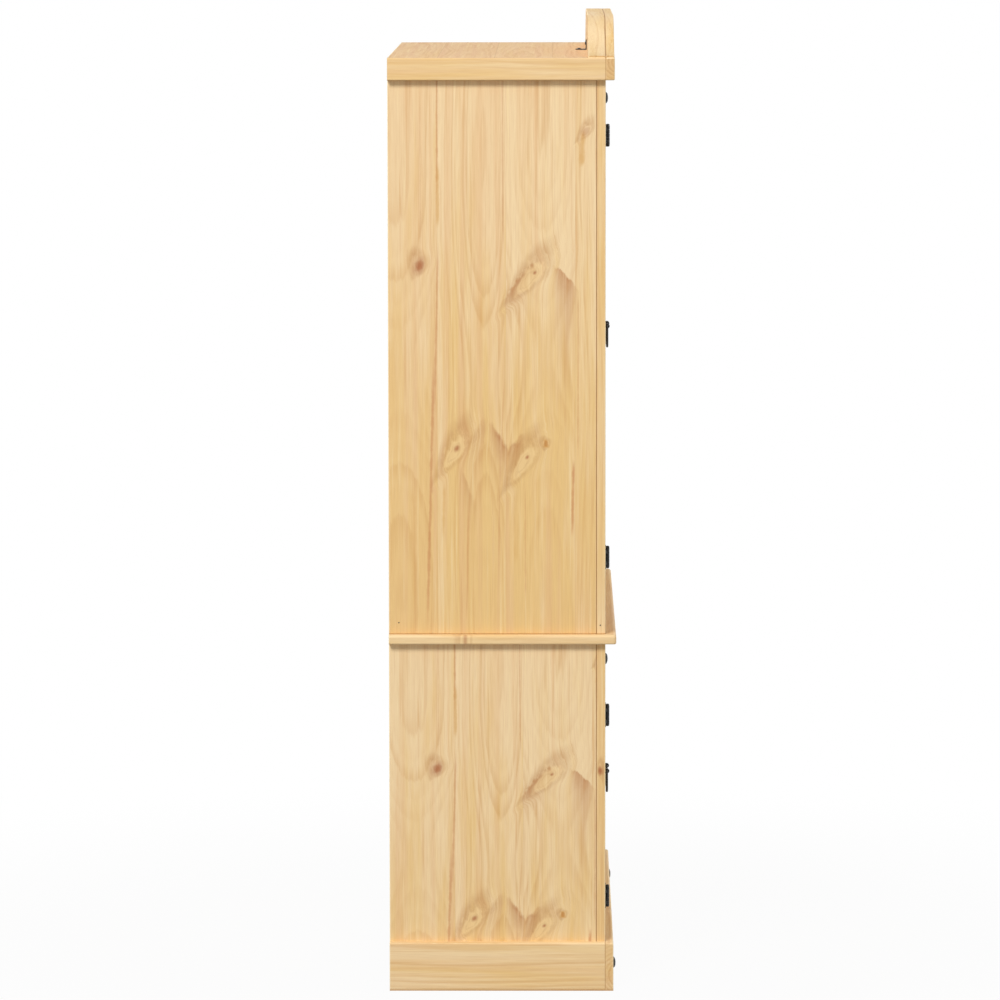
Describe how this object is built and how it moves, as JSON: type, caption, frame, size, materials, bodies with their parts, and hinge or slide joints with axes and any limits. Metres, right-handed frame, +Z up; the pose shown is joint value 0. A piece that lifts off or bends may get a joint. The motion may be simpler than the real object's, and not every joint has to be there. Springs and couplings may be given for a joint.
{
  "type": "display cabinet",
  "caption": "Two-piece pine display cabinet: glazed hutch with cornice and raised crest on a base with panelled doors, worktop slab and plinth, black iron hinges and ring pulls.",
  "frame": {"origin": "middle of the cabinet's footprint, on the floor", "axes": "+Z up; +X along the width; the doors face -Y and the back is at +Y"},
  "size_m": [1.12, 0.4326, 1.854],
  "materials": {
    "pine": "waxed honey pine",
    "back_board": "thin pine plywood",
    "glass": "clear float glass",
    "black_iron": "black lacquered iron",
    "nail_steel": "browned nail heads",
    "pin_steel": "zinc plated",
    "catch_plastic": "brown moulded plastic"
  },
  "bodies": {
    "cabinet": {"base_side_left": "pine", "base_side_right": "pine", "base_bottom_board": "pine", "base_shelf": "pine", "base_back_panel": "back_board", "base_stile_left": "pine", "base_stile_right": "pine", "base_top_rail": "pine", "plinth_front": "pine", "plinth_side_left": "pine", "plinth_side_right": "pine", "worktop": "pine", "hutch_side_left": "pine", "hutch_side_right": "pine", "hutch_bottom_board": "pine", "hutch_top_board": "pine", "hutch_back_panel": "back_board", "hutch_stile_left": "pine", "hutch_stile_right": "pine", "hutch_top_rail": "pine", "hutch_bottom_rail": "pine", "hutch_shelf_lower": "pine", "hutch_shelf_upper": "pine", "cornice_front": "pine", "cornice_side_left": "pine", "cornice_side_right": "pine", "crest_front": "pine", "crest_back": "pine", "crest_bracket": "black_iron", "shelf_pins": "pin_steel", "clavos": "black_iron", "side_nails": "nail_steel", "frame_hinge_leaves": "black_iron", "door_catches": "catch_plastic"},
    "lower_left_door": {"lower_left_stiles": "pine", "lower_left_rails": "pine", "lower_left_panel": "pine", "lower_left_hinge_leaves": "black_iron", "lower_left_fittings": "black_iron"},
    "lower_left_pull_ring": {"lower_left_ring": "black_iron"},
    "lower_right_door": {"lower_right_stiles": "pine", "lower_right_rails": "pine", "lower_right_panel": "pine", "lower_right_hinge_leaves": "black_iron", "lower_right_fittings": "black_iron"},
    "lower_right_pull_ring": {"lower_right_ring": "black_iron"},
    "upper_left_door": {"upper_left_stiles": "pine", "upper_left_rails": "pine", "upper_left_glass": "glass", "upper_left_beads": "pine", "upper_left_hinge_leaves": "black_iron", "upper_left_fittings": "black_iron"},
    "upper_left_pull_ring": {"upper_left_ring": "black_iron"},
    "upper_right_door": {"upper_right_stiles": "pine", "upper_right_rails": "pine", "upper_right_glass": "glass", "upper_right_beads": "pine", "upper_right_hinge_leaves": "black_iron", "upper_right_fittings": "black_iron"},
    "upper_right_pull_ring": {"upper_right_ring": "black_iron"}
  },
  "joints": [
    {"name": "lower_left_door_hinge", "type": "hinge", "parent": "cabinet", "child": "lower_left_door", "pos_m": [-0.493, -0.20015, 0.347], "axis": [0, 0, -1], "range_deg": [0, 170]},
    {"name": "lower_left_ring_swing", "type": "hinge", "parent": "lower_left_door", "child": "lower_left_pull_ring", "pos_m": [-0.0375, -0.20325, 0.347], "axis": [-1, 0, 0], "range_deg": [-6, 174]},
    {"name": "lower_right_door_hinge", "type": "hinge", "parent": "cabinet", "child": "lower_right_door", "pos_m": [0.493, -0.20015, 0.347], "axis": [0, 0, 1], "range_deg": [0, 170]},
    {"name": "lower_right_ring_swing", "type": "hinge", "parent": "lower_right_door", "child": "lower_right_pull_ring", "pos_m": [0.0375, -0.20325, 0.347], "axis": [-1, 0, 0], "range_deg": [-6, 174]},
    {"name": "upper_left_door_hinge", "type": "hinge", "parent": "cabinet", "child": "upper_left_door", "pos_m": [-0.493, -0.20015, 1.235], "axis": [0, 0, -1], "range_deg": [0, 170]},
    {"name": "upper_left_ring_swing", "type": "hinge", "parent": "upper_left_door", "child": "upper_left_pull_ring", "pos_m": [-0.0375, -0.20325, 1.235], "axis": [-1, 0, 0], "range_deg": [-6, 174]},
    {"name": "upper_right_door_hinge", "type": "hinge", "parent": "cabinet", "child": "upper_right_door", "pos_m": [0.493, -0.20015, 1.235], "axis": [0, 0, 1], "range_deg": [0, 170]},
    {"name": "upper_right_ring_swing", "type": "hinge", "parent": "upper_right_door", "child": "upper_right_pull_ring", "pos_m": [0.0375, -0.20325, 1.235], "axis": [-1, 0, 0], "range_deg": [-6, 174]}
  ]
}
